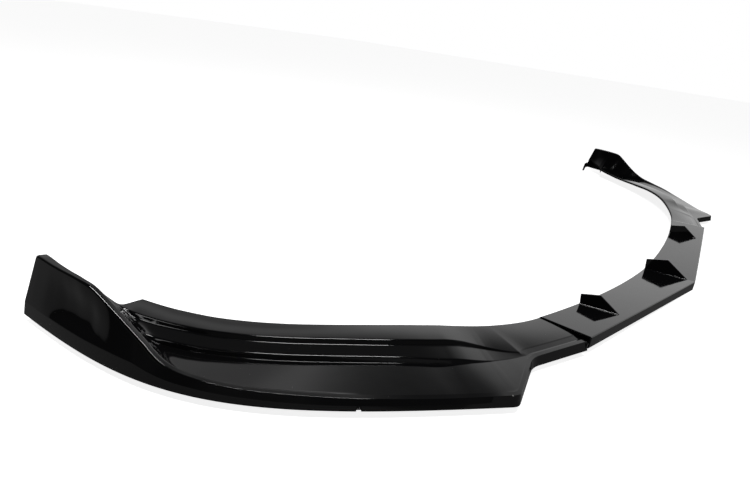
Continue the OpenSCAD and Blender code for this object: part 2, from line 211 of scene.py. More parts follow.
def rounded(rings: Array, radii: Sequence[float], counts: Sequence[int]) -> Array:
    """Round the corners of closed rings with true arcs.

    An arc starts and ends radius x tan(turn / 2) from its corner, or at 0.45 of the shorter run
    beside it, and is a rational parabola of weight cos(turn / 2), which is a circle.

    Args:
        rings: rings by corners by two.
        radii: one radius a corner.
        counts: points on each arc.

    Returns:
        The rounded rings, rings by points by two.
    """
    back = np.roll(rings, 1, axis=1) - rings
    on = np.roll(rings, -1, axis=1) - rings
    short = np.minimum(np.linalg.norm(back, axis=-1), np.linalg.norm(on, axis=-1))
    ua, ub = unit(back), unit(on)
    turn = np.pi - np.arccos(np.clip((ua * ub).sum(-1), -1.0, 1.0))
    wanted = np.asarray(radii)[None, :] * np.tan(np.minimum(turn, 3.0) / 2)
    reach = np.minimum(wanted, 0.45 * short)[..., None]
    first, last = rings + ua * reach, rings + ub * reach
    weight = np.cos(turn / 2)[..., None]
    arcs = []
    for j, k in enumerate(counts):
        v = (np.array([0.5]) if k == 1 else np.linspace(0.0, 1.0, k))[None, :, None]
        one = slice(j, j + 1)
        pull = 2 * weight[:, one] * v * (1 - v)
        top = (1 - v) ** 2 * first[:, one] + pull * rings[:, one] + v ** 2 * last[:, one]
        arcs.append(top / ((1 - v) ** 2 + pull + v ** 2))
    return np.concatenate(arcs, axis=1)


def no_points() -> Array:
    """Return an empty array of points."""
    return np.zeros((0, 3))


@dataclass
class Shape:
    """A mesh in the making: points in millimetres, faces and the finish number of each face."""

    points: Array = field(default_factory=no_points)
    faces: list[Sequence[int]] = field(default_factory=list)
    finish: list[int] = field(default_factory=list)

    def join(self, other: "Shape") -> None:
        """Add another shape's points and faces to this one."""
        start = len(self.points)
        self.points = np.concatenate([self.points, other.points])
        self.faces += [[int(i) + start for i in f] for f in other.faces]
        self.finish += [int(f) for f in other.finish]

    def grid(self, points: Array, finish: int = 0, closed: bool = False, caps: bool = False,
             finishes: Optional[Array] = None) -> None:
        """Add a grid of quads, rows by columns by three.

        Args:
            points: the grid's points.
            finish: finish number of its faces.
            closed: whether each row closes on itself.
            caps: whether the first and last rows are closed with a face.
            finishes: one finish number for each column of faces, in place of finish.
        """
        m, n = points.shape[:2]
        i = np.arange(m - 1)[:, None]
        j = np.arange(n if closed else n - 1)[None, :]
        k = (j + 1) % n
        corners = (i * n + j, i * n + k, (i + 1) * n + k, (i + 1) * n + j)
        quads = np.stack(np.broadcast_arrays(*corners), axis=-1)
        per = np.full(j.size, finish) if finishes is None else finishes
        number = np.broadcast_to(per[None, :], quads.shape[:2]).ravel().tolist()
        faces = quads.reshape(-1, 4).tolist()
        if caps:
            faces += [list(range(n))[::-1], list(range((m - 1) * n, m * n))]
            number += [finish, finish]
        self.join(Shape(points.reshape(-1, 3), faces, number))

    def mirrored(self) -> "Shape":
        """Return the shape mirrored across the car's middle, still facing outwards."""
        return Shape(self.points * [-1, 1, 1], [list(f)[::-1] for f in self.faces], list(self.finish))

    def moved(self, u: float = 0.0, v: float = 0.0, w: float = 0.0) -> "Shape":
        """Return the shape moved by the given distances."""
        return Shape(self.points + [u, v, w], self.faces, self.finish)

    def placed(self, axes: Array, origin: Sequence[float]) -> "Shape":
        """Return the shape placed in space.

        Args:
            axes: the directions of the shape's u, v and w, as rows.
            origin: where the shape's (0, 0, 0) goes.

        Returns:
            The placed shape.
        """
        return Shape(self.points @ np.asarray(axes, float) + origin, self.faces, self.finish)

    def make(self, name: str, finishes: Sequence[Material]) -> bpy.types.Object:
        """Make the Blender object.

        Args:
            name: its name.
            finishes: materials in the order of the finish numbers.

        Returns:
            The object, at the origin, in metres and shaded smooth.
        """
        mesh = bpy.data.meshes.new(name)
        mesh.from_pydata((self.points * MM).tolist(), [], self.faces)
        for material in finishes:
            mesh.materials.append(material)
        mesh.polygons.foreach_set("material_index", self.finish)
        mesh.polygons.foreach_set("use_smooth", [True] * len(self.faces))
        mesh.update()
        obj = bpy.data.objects.new(name, mesh)
        bpy.context.scene.collection.objects.link(obj)
        shade = obj.modifiers.new("even edge shading", "WEIGHTED_NORMAL")
        shade.keep_sharp = True
        return obj


def rectangle(u0: float, v0: float, u1: float, v1: float) -> Array:
    """Return a rectangle's corners, counter-clockwise from its least one."""
    return np.array([[u0, v0], [u1, v0], [u1, v1], [u0, v1]])


def plate(outline: Array, thickness: float, edge: float, corner: Sequence[float] | float,
          hole: Optional[tuple[float, float, float]] = None) -> Shape:
    """Make a flat plate with rounded edges, lying on the plane w = 0 and as thick as asked.

    The outline's corners are rounded; rings of it, drawn in by edge (1 - cos a) at the height
    edge (1 - sin a), make the edge's quarter rounds; a face or a ring of quads closes each side.

    Args:
        outline: corners, counter-clockwise, n by two.
        thickness: size along w.
        edge: radius of the edges.
        corner: radius of the outline's corners, one for all or one each.
        hole: centre and radius of a round hole that the outline is seen from all round.

    Returns:
        The plate, with points (u, v, w).
    """
    corner_points, edge_rings = 6, 5
    n = len(outline)
    radii = np.full(n, corner) if np.isscalar(corner) else np.asarray(corner)
    ring = rounded(outline[None], radii, [corner_points] * n)[0]
    d = unit(np.roll(ring, -1, axis=0) - ring)
    right = np.stack([d[:, 1], -d[:, 0]], axis=1)
    before = np.roll(right, 1, axis=0)
    out = (before + right) / (1 + (before * right).sum(1, keepdims=True))
    a = np.linspace(0, np.pi / 2, edge_rings)
    inset = np.concatenate([edge * (1 - np.sin(a)), edge * (1 - np.cos(a))])
    level = np.concatenate([edge * (1 - np.cos(a)), thickness - edge * (1 - np.sin(a))])
    rings = ring[None] - inset[:, None, None] * out[None]
    w = np.broadcast_to(level[:, None, None], (len(level), len(ring), 1))
    grid = np.concatenate([rings, w], axis=2)
    shape = Shape()
    if hole is None:
        shape.grid(grid, closed=True, caps=True)
        return shape
    centre, radius = np.array(hole[:2]), hole[2]
    ray = unit(grid[0, :, :2] - centre)
    around = np.broadcast_to(centre + ray * radius, (2, *ray.shape))
    both_faces = np.broadcast_to(np.array([0.0, thickness])[:, None, None], (2, len(ray), 1))
    bore = np.concatenate([around, both_faces], axis=2)
    shape.grid(np.concatenate([bore[:1], grid, bore[1:], bore[:1]]), closed=True)
    return shape


# Finishes

def linear(hex_colour: str) -> tuple[float, float, float, float]:
    """Turn an sRGB hex colour into the linear one that a shader takes."""
    c = np.array([int(hex_colour[i:i + 2], 16) for i in (1, 3, 5)]) / 255.0
    lin = np.where(c <= 0.04045, c / 12.92, ((c + 0.055) / 1.055) ** 2.4)
    return (*lin.tolist(), 1.0)


def add_node(tree: Tree, kind: str, inputs: Optional[dict] = None, **settings) -> bpy.types.Node:
    """Add a node with its settings and links.

    Args:
        tree: the node tree.
        kind: the node's type name, without ShaderNode in front.
        inputs: value or linked socket for each input, by name or number.
        settings: attributes of the node.

    Returns:
        The node.
    """
    node = tree.nodes.new(f"ShaderNode{kind}")
    for name, value in settings.items():
        setattr(node, name, value)
    for name, value in (inputs or {}).items():
        if isinstance(value, Socket):
            tree.links.new(value, node.inputs[name])
        else:
            node.inputs[name].default_value = value
    return node


def new_tree(name: str) -> tuple[Material, Tree, bpy.types.Node]:
    """Return a new material, its emptied tree and its output node."""
    material = bpy.data.materials.new(name)
    material.use_nodes = True
    tree = material.node_tree
    tree.nodes.clear()
    return material, tree, tree.nodes.new("ShaderNodeOutputMaterial")


@dataclass(frozen=True)
class Finish:
    """A finish on Object coordinates, whose patterns feed one Principled shader."""

    name: str = ""
    colour: str = ""
    roughness: float = 0.5

    def inputs(self, tree: Tree, at: Socket) -> dict:
        """Add the finish's patterns.

        Args:
            tree: the material's node tree.
            at: the place on the piece, in metres.

        Returns:
            The value or socket of each of the shader's inputs.
        """
        raise NotImplementedError

    def make(self) -> Material:
        """Build the material."""
        material, tree, out = new_tree(self.name)
        at = add_node(tree, "TexCoord").outputs["Object"]
        shader = add_node(tree, "BsdfPrincipled", self.inputs(tree, at))
        tree.links.new(shader.outputs[0], out.inputs[0])
        return material


@dataclass(frozen=True)
class GlossAbs(Finish):
    """Gloss black ABS, moulded against a polished steel tool: mirror-like with a faint long ripple."""

    name: str = "gloss_black_abs_moulded"
    colour: str = "#0a0a0b"
    roughness: float = 0.07
    rough_range: tuple[float, float] = (0.7, 1.45)
    ior: float = 1.54
    ripple_mm: float = 38.0
    ripple_depth_mm: float = 0.4
    haze_scale: float = 9.0
    haze_share: float = 0.75
    wipe_scale: tuple[float, float, float] = (90.0, 625.0, 500.0)
    dust_and_spot_colour: str = "#8f8f8c"
    dust_mm: float = 3.2
    dust_free: float = 0.965
    # light grey spots drawn into the base colour: place and radius of each, in millimetres
    light_spots: tuple[tuple[float, float, float, float], ...] = (
        (-752.0, -76.5, 21.4, 0.9), (-748.1, -79.1, 22.1, 0.9), (-745.2, -81.8, 21.8, 1.3),
        (-705.7, -114.5, 21.1, 1.4), (-640.0, -82.5, 28.8, 0.9), (-601.5, -193.5, 22.3, 1.2))

    def rough(self, tree: Tree, at: Socket) -> Socket:
        """Return the roughness of wiped haze: it drifts over a hand's width and along lines 1.6 mm apart."""
        haze = add_node(tree, "TexNoise", {"Vector": at, "Scale": self.haze_scale, "Detail": 3.0})
        stretch = add_node(tree, "Mapping", {"Vector": at, "Scale": self.wipe_scale})
        lines = add_node(tree, "TexNoise", {"Vector": stretch.outputs[0], "Scale": 1.0, "Detail": 2.0})
        wide = add_node(tree, "Math", {0: haze.outputs[0], 1: self.haze_share}, operation="MULTIPLY")
        both = add_node(tree, "Math", {0: lines.outputs[0], 1: 1 - self.haze_share, 2: wide.outputs[0]},
                        operation="MULTIPLY_ADD")
        low, high = (self.roughness * share for share in self.rough_range)
        rough = add_node(tree, "MapRange", {"Value": both.outputs[0], 1: 0.3, 2: 0.7, 3: low, 4: high})
        return rough.outputs[0]

    def marks(self, tree: Tree, at: Socket) -> Socket:
        """Return 1 on dust, specks a third of a millimetre across in few cells, and on six light grey spots
        at given places.
        """
        cells = add_node(tree, "TexVoronoi", {"Vector": at, "Scale": 1000.0 / self.dust_mm,
                                                        "Randomness": 1.0})
        speck = add_node(tree, "MapRange", {"Value": cells.outputs["Distance"], 1: 0.03, 2: 0.07,
                                                      3: 1.0, 4: 0.0})
        pick = add_node(tree, "SeparateColor", {0: cells.outputs["Color"]})
        few = add_node(tree, "Math", {0: pick.outputs[0], 1: self.dust_free}, operation="GREATER_THAN")
        dust = add_node(tree, "Math", {0: speck.outputs[0], 1: few.outputs[0]}, operation="MULTIPLY")
        marks = dust.outputs[0]
        # each light grey spot takes the speck colour, full within half its radius and fading out at its
        # radius
        for *spot, radius in self.light_spots:
            place = tuple(c * MM for c in spot)
            away = add_node(tree, "VectorMath", {0: at, 1: place}, operation="DISTANCE")
            mark = add_node(tree, "MapRange", {"Value": away.outputs["Value"], 1: radius * MM,
                                                         2: radius * MM / 2, 3: 0.0, 4: 1.0})
            both = add_node(tree, "Math", {0: marks, 1: mark.outputs[0]}, operation="MAXIMUM")
            marks = both.outputs[0]
        return marks

    def inputs(self, tree: Tree, at: Socket) -> dict:
        """Add haze, dust, the light grey spots and the sink ripple of the moulded wall."""
        colour = add_node(tree, "Mix", {"Factor": self.marks(tree, at), 6: linear(self.colour),
                                                  7: linear(self.dust_and_spot_colour)}, data_type="RGBA")
        ripple = add_node(tree, "TexNoise", {"Vector": at, "Scale": 1000.0 / self.ripple_mm,
                                                       "Detail": 1.0})
        bump = add_node(tree, "Bump", {"Height": ripple.outputs[0], "Strength": 0.35,
                                                 "Distance": self.ripple_depth_mm * MM})
        return {"Base Color": colour.outputs[2], "Roughness": self.rough(tree, at), "Normal": bump.outputs[0],
                "IOR": self.ior}


@dataclass(frozen=True)
class SatinAbs(Finish):
    """The same ABS on the inner side, moulded against a spark-eroded tool: satin, with a fine grain."""

    name: str = "satin_black_abs_inner_face"
    colour: str = "#121213"
    roughness: float = 0.46
    rough_range: tuple[float, float] = (-0.06, 0.08)
    ior: float = 1.5
    grain_mm: float = 0.7
    grain_depth_mm: float = 0.08
    cloud_scale: float = 14.0

    def inputs(self, tree: Tree, at: Socket) -> dict:
        """Add the tool's grain and a slow drift of the roughness."""
        grain = add_node(tree, "TexNoise", {"Vector": at, "Scale": 1000.0 / self.grain_mm,
                                                      "Detail": 2.0})
        cloud = add_node(tree, "TexNoise", {"Vector": at, "Scale": self.cloud_scale, "Detail": 3.0})
        low, high = (self.roughness + more for more in self.rough_range)
        rough = add_node(tree, "MapRange", {"Value": cloud.outputs[0], 1: 0.3, 2: 0.7, 3: low, 4: high})
        bump = add_node(tree, "Bump", {"Height": grain.outputs[0], "Strength": 0.5,
                                                 "Distance": self.grain_depth_mm * MM})
        return {"Base Color": linear(self.colour), "Roughness": rough.outputs[0], "Normal": bump.outputs[0],
                "IOR": self.ior}


@dataclass(frozen=True)
class ZincSteel(Finish):
    """Bright zinc-plated steel of a tapping screw: soft metal sheen with slightly clouded plating."""

    name: str = "zinc_plated_steel"
    colour: str = "#b9bcc0"
    roughness: float = 0.32
    rough_range: tuple[float, float] = (-0.08, 0.12)
    cloud_mm: float = 1.5
    cloud_depth_mm: float = 0.05

    def inputs(self, tree: Tree, at: Socket) -> dict:
        """Add the plating's clouds, in roughness and in height."""
        cloud = add_node(tree, "TexNoise", {"Vector": at, "Scale": 1000.0 / self.cloud_mm,
                                                      "Detail": 3.0})
        low, high = (self.roughness + more for more in self.rough_range)
        rough = add_node(tree, "MapRange", {"Value": cloud.outputs[0], 1: 0.3, 2: 0.7, 3: low, 4: high})
        bump = add_node(tree, "Bump", {"Height": cloud.outputs[0], "Strength": 0.3,
                                                 "Distance": self.cloud_depth_mm * MM})
        return {"Base Color": linear(self.colour), "Metallic": 1.0, "Roughness": rough.outputs[0],
                "Normal": bump.outputs[0]}


GLOSS, SATIN = 0, 1


@dataclass
class Moulding:
    """A moulding in place of one CAD node, gloss outside and satin inside."""

    node: str = ""
    slot: str = "lip_plastic"
    wall: float = 2.5
    inner_lip: float = 5.5
    edge_r: float = 1.7
    trimmed_r: float = 0.5

    def parts(self) -> list[Shape]:
        """Return the moulding's skin and all that is moulded to it."""
        raise NotImplementedError

    def build(self, name: str, gloss: Material, satin: Material) -> bpy.types.Object:
        """Make one piece of the parts, on the root body.

        Args:
            name: the piece's name.
            gloss: finish of the outer faces.
            satin: finish of the inner faces.

        Returns:
            The piece.
        """
        shape = Shape()
        for part in self.parts():
            shape.join(part)
        piece = shape.make(name, [gloss, satin])
        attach(piece, "root")
        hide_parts(self.node)
        return piece


# The middle length

@dataclass
class MiddleLength(Moulding):
    """The middle moulding: a narrow blade with a downturned rear lip, a front face and three strakes."""

    node: str = "centre_lip"
    nose_y: float = -266.0
    seam_x: float = 408.0
    seam_skew: float = 5.0
    seam_taper: float = 30.0
    seam_over: float = 2.0
    nose_z: float = 17.0
    front_rise: float = 10.5
    foot_rise: float = 11.0
    foot_level: float = 0.015
    foot_power: float = 0.8
    rear_z: float = 8.0
    rear_rise: float = 14.5
    mid_w: float = 88.0
    inner_r: float = 2000.0
    sweep: float = 0.132
    draft: float = 1.0
    gap_rear: float = 1.0
    gap_front: float = 3.5
    strake_x: float = 300.0
    strake_l: float = 58.0
    strake_rear_h: float = 15.5
    strake_h: float = 22.0
    strake_peak: float = 25.0
    strake_t: float = 4.0
    strake_ratio: float = 1.3
    strake_toe: float = 7.3
    strake_sunk: float = 1.2
    strake_edge: float = 1.1
    strake_corners: tuple[float, ...] = (0.3, 1.2, 1.6, 0.8, 0.3)
    fillet_r: float = 1.8
    lap: float = 27.0
    boss_r: float = 5.0
    boss_wall: float = 2.4
    boss_rim: float = 0.4
    boss_clear: float = 0.05
    tongue_z: float = 15.5
    screw_at: tuple[float, float] = (22.0, 54.0)

    def inner_y(self, x: Array) -> Array:
        """Return the rear edge's Y at the distance x from the middle."""
        return self.nose_y + self.draft + self.mid_w + x * x / (2 * self.inner_r)

    def front_y(self, x: Array) -> Array:
        """Return the front edge's Y at the distance x from the middle."""
        return self.nose_y + self.draft + self.sweep * np.abs(x) + x * x / 1e5

    def rise(self, x: Array) -> Array:
        """Return 0 at the middle to 1 at the seam."""
        return np.abs(x) / (self.seam_x + self.seam_skew)

    def top_z(self, x: Array, y: Array) -> Array:
        """Return the height of the blade's upper face at x, y."""
        rear = self.rear_z + self.rear_rise * self.rise(x)
        front = self.nose_z + self.front_rise * self.rise(x)
        return mix(rear, front, (self.inner_y(x) - y) / (self.inner_y(x) - self.front_y(x)))

    def seam_ends(self) -> tuple[Array, Array]:
        """Return the left seam's rear point, and its front point a little in front of the front edge."""
        x = self.seam_x + self.seam_skew
        rear = np.array([self.seam_x, self.inner_y(self.seam_x)])
        return rear, np.array([x, self.front_y(x) - self.seam_over])

    def blade(self) -> Shape:
        """Make the blade: sections across it, from the right seam to the left one."""
        close_to_nose = [0.0, 1.5, 3.0, 5.0, 8.0]
        half = np.concatenate([close_to_nose, np.linspace(12.0, self.seam_x, 130)])
        x = np.concatenate([-half[::-1], half[1:]])
        share = np.clip((np.abs(x) - (self.seam_x - self.seam_taper)) / self.seam_taper, 0, 1)
        ends = np.sign(x) * share
        xi = x - ends * self.gap_rear
        xo = x + ends * (self.seam_skew - self.gap_front)
        inner = np.stack([xi, self.inner_y(xi)], axis=1)
        outer = np.stack([xo, self.front_y(xo) - self.draft], axis=1)
        run = np.linalg.norm(outer - inner, axis=1)
        rear = self.rear_z + self.rear_rise * self.rise(x)
        front = self.nose_z + self.front_rise * self.rise(x)
        foot = self.foot_rise * np.maximum(0.0, self.rise(x) - self.foot_level) ** self.foot_power
        line = Corners()
        zero = np.zeros_like(x)
        line.add(zero, rear - self.inner_lip, self.trimmed_r, 3)
        line.add(zero, rear, self.edge_r, 7)
        for v in (0.12, 0.25, 0.4, 0.55, 0.7, 0.82, 0.92):
            line.add(v * (run - self.draft), mix(rear, front, v), key=v in (0.25, 0.55, 0.82))
        line.add(run - self.draft + 0.1, front, self.edge_r, 7)
        line.add(run - 0.5, mix(front, foot, 0.5), key=False)
        line.add(run, foot, self.trimmed_r, 3)
        return hollow_skin(line, inner, outer, self.wall)

    def strake(self, x: float, size: float, turn: float) -> Shape:
        """Make an upright strake with a fillet at its foot.

        Args:
            x: its place across the car.
            size: its size against the side strakes.
            turn: its turn in plan, in degrees.

        Returns:
            The plate and its fillets, in space.
        """
        y0 = self.inner_y(abs(x))
        length, peak = self.strake_l * size, self.strake_peak * size
        rear_h, peak_h = self.strake_rear_h * size, self.strake_h * size

        def blade_z(y: float) -> float:
            """Return the height of the blade's upper face at y from its rear edge, negative in front."""
            return float(self.top_z(abs(x), y0 + y))

        outline = np.array([
            [-1.0, blade_z(0) - self.strake_sunk], [2.0, blade_z(0) + rear_h],
            [-1.0 - peak, blade_z(-peak) + peak_h],
            [-length, blade_z(-length)], [-length + 1.0, blade_z(-length) - self.strake_sunk]])
        flat = plate(outline, self.strake_t, self.strake_edge, self.strake_corners)
        flat = flat.moved(w=-self.strake_t / 2)
        # the foot's fillet: a quarter round of radius min(fillet_r, height / 2) along both sides
        y = np.linspace(-length + 1.5, -0.5, 60)
        base = np.array([blade_z(v) for v in y])
        edge = np.interp(y, [-length, -1.0 - peak, 2.0], [0.0, peak_h, rear_h])
        r = np.minimum(self.fillet_r, edge / 2)[:, None]
        a = np.linspace(0, np.pi / 2, 7)[None, :]
        out = self.strake_t / 2 - 0.05 + r * (1 - np.sin(a))
        up = base[:, None] - 0.05 + r * (1 - np.cos(a))
        yy = np.broadcast_to(y[:, None], out.shape)
        flat.grid(np.stack([yy, up, out], axis=2)[:, ::-1])
        flat.grid(np.stack([yy, up, -out], axis=2))
        c, s = np.cos(np.radians(turn)), np.sin(np.radians(turn))
        return flat.placed(np.array([[-s, c, 0], [0, 0, 1], [c, s, 0]]), (x, y0, 0))

    def bosses(self) -> Shape:
        """Make the screw bosses under the blade: short tubes with a rounded rim, on the tongues."""
        shape = Shape()
        a = np.linspace(0, 2 * np.pi, 33)[:-1]
        seam_in, seam_out = self.seam_ends()
        d = unit(seam_out - seam_in)
        outward = np.array([-d[1], d[0]])
        r, bore_r, rim_z = self.boss_r, self.boss_r - self.boss_wall, self.tongue_z + self.boss_clear
        for at in self.screw_at:
            c = seam_in + d * at - outward * (self.lap / 2 + 1)
            rz = np.array([[bore_r, self.tongue_z + 4], [bore_r, rim_z], [r - self.boss_rim, rim_z],
                           [r, self.tongue_z + self.boss_rim], [r, self.top_z(*c) - 1]])
            for side in Side:
                ring = np.stack([side.value * (c[0] + rz[:, :1] * np.cos(a)), c[1] + rz[:, :1] * np.sin(a),
                                 np.broadcast_to(rz[:, 1:], (len(rz), len(a)))], axis=2)
                shape.grid(ring if side is Side.LEFT else ring[:, ::-1], finish=SATIN, closed=True)
        return shape

    def parts(self) -> list[Shape]:
        """Return the blade, the middle strake, the bosses and the side strakes."""
        sides = [self.strake(side.value * self.strake_x, 1.0, -side.value * self.strake_toe) for side in Side]
        return [self.blade(), self.strake(0.0, self.strake_ratio, 0.0), self.bosses(), *sides]


def hollow_skin(line: Corners, inner: Array, outer: Array, wall: float, rake: Optional[Array] = None,
                foot_z: float = 9.0) -> Shape:
    """Carry a section line along stations, give it the wall thickness and close both ends.

    A section point at the distance s from the inner edge lies s along the straight line from the
    station's inner point to its outer point. The wall's inner line is the key corners moved in by
    the wall, with radii that keep the wall even.

    Args:
        line: the section's corners for all stations.
        inner: plan points of the inner edge, stations by two.
        outer: plan points of the outer edge, stations by two.
        wall: thickness.
        rake: shift forward for each millimetre above foot_z, one value a station.
        foot_z: height that doesn't shift.

    Returns:
        The skin.
    """
    points = line.points()
    keep = np.array(line.key)
    back = wall_offset(points[:, keep], wall)[:, ::-1]
    key_radius = np.array(line.radius)[keep]
    ring = np.concatenate([points, back], axis=1)
    radii = list(line.radius) + [max(0.4, r - wall) if r else 0.0 for r in key_radius[::-1]]
    counts = list(line.count) + [3 if r else 1 for r in key_radius[::-1]]
    flat = rounded(ring, radii, counts)
    direction = unit(outer - inner)
    plan = inner[:, None, :] + flat[..., :1] * direction[:, None, :]
    grid = np.concatenate([plan, flat[..., 1:]], axis=2)
    if rake is not None:
        grid[..., 1] -= rake[:, None] * (grid[..., 2] - foot_z)
    shown = sum(line.count)
    numbers = np.where(np.arange(flat.shape[1]) < shown, GLOSS, SATIN)
    shape = Shape()
    shape.grid(grid[:, ::-1], closed=True, caps=True, finishes=np.roll(numbers[::-1], -1))
    return shape


# The side lengths

@dataclass
class SideLength(Moulding):
    """A side moulding: a stepped blade that sweeps back and turns up into a hollowed wing.

    Fields with fade in their names are stretches over which a form fades in, each with its start
    and length: t runs along the inner edge and r along the wing, from 0 to 1, b is the distance
    behind the nose and z the ridge's height above the rim. valley_t and corner_t are the places
    along the inner edge where the valley's and the front corner's roundings start and end.
    """

    side: Side = Side.LEFT
    half_width: float = 920.5
    depth: float = 532.0
    valley: tuple[float, float] = (514.0, -178.5)
    corner: tuple[float, float] = (596.0, -202.0)
    outer_bend: tuple[float, float] = (885.0, 7.0)
    inner_bend: tuple[float, float] = (662.0, -87.0)
    inner_end: tuple[float, float] = (817.0, 191.0)
    inner_full: float = 0.6
    outer_full: float = 0.89
    valley_t: tuple[float, float] = (0.185, 0.215)
    corner_t: tuple[float, float] = (0.262, 0.28)
    valley_round: float = 12.0
    corner_round: float = 6.0
    corner_share: float = 0.008
    pace: tuple[float, float] = (0.36, 0.4922)
    edge_z: float = 9.0
    flange_z: float = 40.0
    step1_drop: float = 5.4
    ledge_fall: float = 2.6
    step2_drop: float = 6.5
    flange_w: float = 28.5
    ledge_w: float = 20.0
    step_run: tuple[float, float] = (2.2, 1.8)
    step_lift: tuple[float, float] = (2.6, 3.2)
    top_lift: float = 1.7
    least_fall: tuple[float, float, float] = (0.4, 0.6, 0.2)
    step_limit: tuple[float, float] = (0.78, 0.9)
    rim_margin: float = 8.0
    rim_drop: float = 1.5
    rim_in: float = 2.2
    rim_fade_t: tuple[float, float] = (0.3, 0.1)
    rim_fade_b: tuple[float, float] = (250.0, -60.0)
    lift_fade_t: tuple[float, float] = (0.24, 0.1)
    top_fade_t: tuple[float, float] = (0.17, 0.2)
    step1_fade_t: tuple[float, float] = (0.18, 0.2)
    step2_fade_t: tuple[float, float] = (0.25, 0.16)
    wing_fade_r: tuple[float, float] = (0.0, 0.12)
    flange_fade_r: tuple[float, float] = (0.0, 0.2)
    lip_fade_r: tuple[float, float] = (0.0, 0.06)
    rake_fade_r: tuple[float, float] = (0.0, 0.8)
    wing_steps: tuple[float, float] = (0.3, 0.65)
    wing_run: float = 0.1
    wing_lip: float = 4.25
    ridge_fade_z: tuple[float, float] = (0.0, 15.0)
    valley_z: float = 22.3
    wing_z: float = 86.6
    ramp: float = 0.6
    ramp_back: float = 353.0
    crest_w: float = 6.0
    crest_fall: float = 1.5
    flange_crown: float = 0.7
    scoop: float = 8.0
    strip_h: float = 18.0
    rake: float = 0.18
    foot_blend: float = 8.0
    ramp_blend: float = 12.0
    top_blend: float = 6.0
    crest_r: float = 3.2
    step_r: float = 2.5
    low_r: float = 4.0
    foot_r: float = 0.6
    tongue_clear: float = 3.0
    tongue_root: float = 2.0
    screw_hole_r: float = 2.35
    seam_wall_inset: float = 1.2
    post_w: float = 9.0
    tab_t: float = 3.0
    tab_hole_r: float = 2.6
    tab_hole_z: float = 19.0
    chip_v: float = 0.392
    chip_h: float = 4.6
    chip_half: float = 2.9
    chip_slope: float = 1.2
    middle: MiddleLength = field(default_factory=MiddleLength)

    def inner_edge(self, t: Array) -> Array:
        """Return plan points of the edge that meets the bumper."""
        start = self.middle.seam_ends()[0]
        return bend(start, np.array(self.inner_bend), np.array(self.inner_end), self.inner_full, t)

    def outer_edge(self, t: Array) -> Array:
        """Return plan points of the outer edge from the front corner to the wing's rear end."""
        end = np.array([self.half_width, self.depth / 2])
        return bend(np.array(self.corner), np.array(self.outer_bend), end, self.outer_full, t)

    def trim_line(self) -> Array:
        """Return the inner boundary of the wing, from the flange's rear end to the wing's rear end."""
        e, w = np.array(self.inner_end), np.array([self.half_width, self.depth / 2])
        return np.array([e, e + [13, 1.0], e + [21, 3.0], e + [27, 7.0], e + [32, 13.0], w + [-62.5, -49],
                         w + [-50.5, -30], w + [-36.5, -8], w + [-34.5, 0.0]])

    def stations(self) -> tuple[Array, Array, Array, Array]:
        """Return inner points, outer points, inner position t and wing position r of all stations.

        The outer point runs straight from the seam to the valley, rounds it, runs straight to the
        front corner, rounds that, and follows the outer curve, which it does faster than the inner one.
        """
        seam_out = self.middle.seam_ends()[1]
        valley, corner = np.array(self.valley), np.array(self.corner)
        v_in, v_out = (toward(end, valley, self.valley_round) for end in (seam_out, corner))
        c_in = toward(valley, corner, self.corner_round)
        v0, v1 = self.valley_t
        c0, c1 = self.corner_t
        a, b, c, d = (np.linspace(0, 1, k) for k in (36, 16, 20, 14))
        close_to_chip = self.chip_v + np.linspace(-0.008, 0.008, 25)
        v = np.unique(np.concatenate([np.linspace(0, 1, 211)[1:], close_to_chip]).round(5))
        outer_t = self.outer_share(v)
        wing = np.linspace(0, 1, 64)[1:]
        t = np.concatenate([a * v0, mix(v0, v1, b[1:]), mix(v1, c0, c[1:]), mix(c0, c1, d[1:]), mix(c1, 1, v),
                            np.ones_like(wing)])
        r = np.concatenate([np.zeros(len(t) - len(wing)), wing])
        start = self.outer_edge(np.array([self.corner_share]))[0]
        outer = np.concatenate([
            mix(seam_out, v_in, a[:, None]), round_over(v_in, valley, v_out, b[1:]),
            mix(v_out, c_in, c[1:, None]), round_over(c_in, corner, start, d[1:]),
            self.outer_edge(outer_t), self.outer_edge(mix(outer_t[-1], 1, wing))])
        inner = np.concatenate([self.inner_edge(t[r == 0]), along(self.trim_line(), wing)])
        return inner, outer, t, r

    def outer_share(self, v: Array) -> Array:
        """Return the outer curve's position for the share v of the way behind the front corner."""
        return mix(self.corner_share, 1, self.pace[0] * v + self.pace[1] * v * v)

    def flange_top(self, t: Array) -> Array:
        """Return the flange's height along the inner edge."""
        return self.flange_z * curve(t, [
            (0, 0.54), (0.05, 0.57), (0.2, 0.71), (0.3, 0.835), (0.37, 0.915), (0.45, 0.945), (0.52, 0.925),
            (0.6, 0.865), (0.7, 0.76), (0.78, 0.69), (0.85, 0.66), (0.92, 0.68), (1, 0.76)])

    def step1_at(self, t: Array) -> Array:
        """Return the first step's distance from the inner edge: it runs out to the valley."""
        return self.flange_w + curve(t, [
            (0.185, 37.5), (0.2, 31), (0.215, 26), (0.25, 14.5), (0.27, 10), (0.3, 6), (0.33, 4), (0.4, 4),
            (0.5, 3), (0.6, 1), (0.8, 0)])

    def step2_at(self, t: Array) -> Array:
        """Return the second step's distance from the inner edge."""
        return self.flange_w + self.ledge_w + curve(t, [
            (0.27, 13), (0.33, 10.5), (0.4, 8), (0.45, 5), (0.5, 3), (0.6, 1), (0.7, 0)])

    def crest_at(self, b: Array) -> Array:
        """Return the width of the narrow face on top of the ridge and the wing."""
        return self.crest_w * curve(b, [(330, 1), (376, 1), (430, 1.05), (490, 1.3), (532, 1.65)])

    def rim_z(self, b: Array) -> Array:
        """Return the height of the outer rim at the distance b behind the nose."""
        return self.edge_z + curve(b, [(60, 13.5), (75, 13.2), (90, 12.4), (120, 11.6), (165, 12.4),
                                       (215, 14.0), (266, 14.7), (295, 16.0)])

